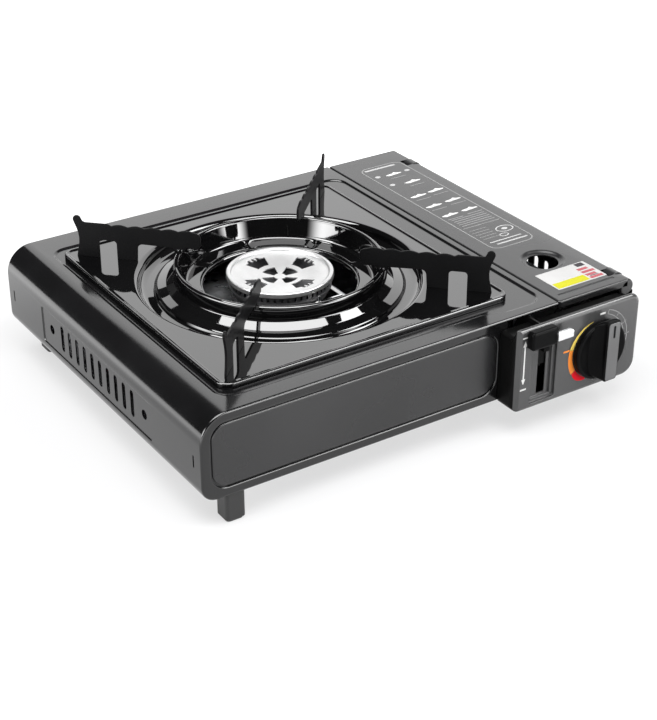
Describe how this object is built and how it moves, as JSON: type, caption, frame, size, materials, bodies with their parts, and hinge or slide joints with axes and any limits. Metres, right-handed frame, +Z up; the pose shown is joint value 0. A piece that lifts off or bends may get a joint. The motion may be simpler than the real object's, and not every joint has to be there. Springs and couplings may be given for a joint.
{
  "type": "portable gas stove",
  "caption": "Portable single-burner cassette gas stove with drip pan, pot supports, lidded cartridge bay, lock lever, gas knob and piezo igniter.",
  "frame": {"origin": "middle of the footprint, on the surface that the feet stand on", "axes": "+Z up, -Y towards the control knob and the front, +X towards the cartridge bay"},
  "size_m": [0.3516, 0.3252, 0.1171],
  "materials": {
    "shell_enamel": "semi-gloss dark grey stove enamel",
    "front_enamel": "semi-gloss dark grey stove enamel",
    "lid_enamel": "semi-gloss dark grey stove enamel",
    "pan_enamel": "high-gloss black vitreous enamel",
    "support_enamel": "matt black enamel on steel",
    "galvanised": "galvanised sheet steel",
    "cap_aluminium": "bright pressed aluminium",
    "cast_aluminium": "cast aluminium",
    "brass": "machined brass",
    "bright_steel": "bright plated steel",
    "ceramic": "glazed white ceramic",
    "lead_red": "silicone insulated lead",
    "cover_paint": "semi-matt charcoal enamel",
    "knob_plastic": "matt black moulded plastic",
    "foot_rubber": "black moulded rubber",
    "seal_rubber": "nitrile rubber",
    "cam_plastic": "natural moulded plastic",
    "igniter_plastic": "dark blue moulded plastic",
    "plunger_plastic": "yellow moulded plastic",
    "label_film": "plain printed film"
  },
  "bodies": {
    "stove_body": {"outer_shell": "shell_enamel", "front_panel": "front_enamel", "rear_panel": "shell_enamel", "base_plate": "galvanised", "heat_partition": "galvanised", "cartridge_tray": "galvanised", "foot_front_left": "foot_rubber", "foot_front_right": "foot_rubber", "foot_rear_left": "foot_rubber", "foot_rear_right": "foot_rubber", "burner_cap": "cap_aluminium", "flame_ring": "cast_aluminium", "burner_body": "cast_aluminium", "burner_bracket": "galvanised", "mixing_tube": "galvanised", "air_collar": "galvanised", "gas_jet": "brass", "electrode_holder": "bright_steel", "electrode_ceramic": "ceramic", "electrode_pin": "bright_steel", "ignition_lead": "lead_red", "hinge_front": "lid_enamel", "hinge_rear": "lid_enamel", "hinge_pins": "bright_steel", "control_cover": "cover_paint", "control_bracket": "galvanised", "lever_guide": "cover_paint", "fork_spring": "bright_steel", "regulator_body": "cast_aluminium", "regulator_cover": "cast_aluminium", "regulator_diaphragm": "seal_rubber", "regulator_spring": "bright_steel", "regulator_screws": "bright_steel", "valve_body": "cast_aluminium", "inlet_seal": "seal_rubber", "piezo_igniter": "igniter_plastic", "cover_screws": "bright_steel"},
    "pan_set": {"drip_pan": "pan_enamel", "pot_support_front_left": "support_enamel", "pot_support_front_right": "support_enamel", "pot_support_rear_left": "support_enamel", "pot_support_rear_right": "support_enamel"},
    "lid": {"cartridge_lid": "lid_enamel", "lid_catch": "galvanised", "lid_label": "label_film"},
    "knob_set": {"control_knob": "knob_plastic", "valve_spindle": "brass", "ignition_cam": "cam_plastic"},
    "plunger": {"piezo_plunger": "plunger_plastic"},
    "lever": {"lever_head": "knob_plastic", "lever_slide": "cover_paint"},
    "fork": {"cartridge_fork": "galvanised"}
  },
  "joints": [
    {"name": "lid_hinge", "type": "hinge", "parent": "stove_body", "child": "lid", "pos_m": [0.1692, 0.0181, 0.0775], "axis": [0, 1, 0], "range_deg": [0, 100]},
    {"name": "pan_lift", "type": "slide", "parent": "stove_body", "child": "pan_set", "axis": [0, 0, 1], "range_m": [0, 0.06]},
    {"name": "knob_turn", "type": "hinge", "parent": "stove_body", "child": "knob_set", "pos_m": [0.1272, -0.1451, 0.0502], "axis": [0, -1, 0], "range_deg": [0, 160]},
    {"name": "igniter_stroke", "type": "slide", "parent": "stove_body", "child": "plunger", "axis": [-1, 0, 0], "range_m": [0, 0.00505]},
    {"name": "lever_slide", "type": "slide", "parent": "stove_body", "child": "lever", "axis": [0, 0, -1], "range_m": [0, 0.024]},
    {"name": "fork_slide", "type": "slide", "parent": "stove_body", "child": "fork", "axis": [0, -1, 0], "range_m": [0, 0.00705], "deforming": ["fork_spring"]}
  ],
  "couplings": [
    {"joint": "igniter_stroke", "follows": "knob_turn", "m_per_rad": 0.0017905},
    {"joint": "fork_slide", "follows": "lever_slide", "ratio": 0.29167}
  ]
}
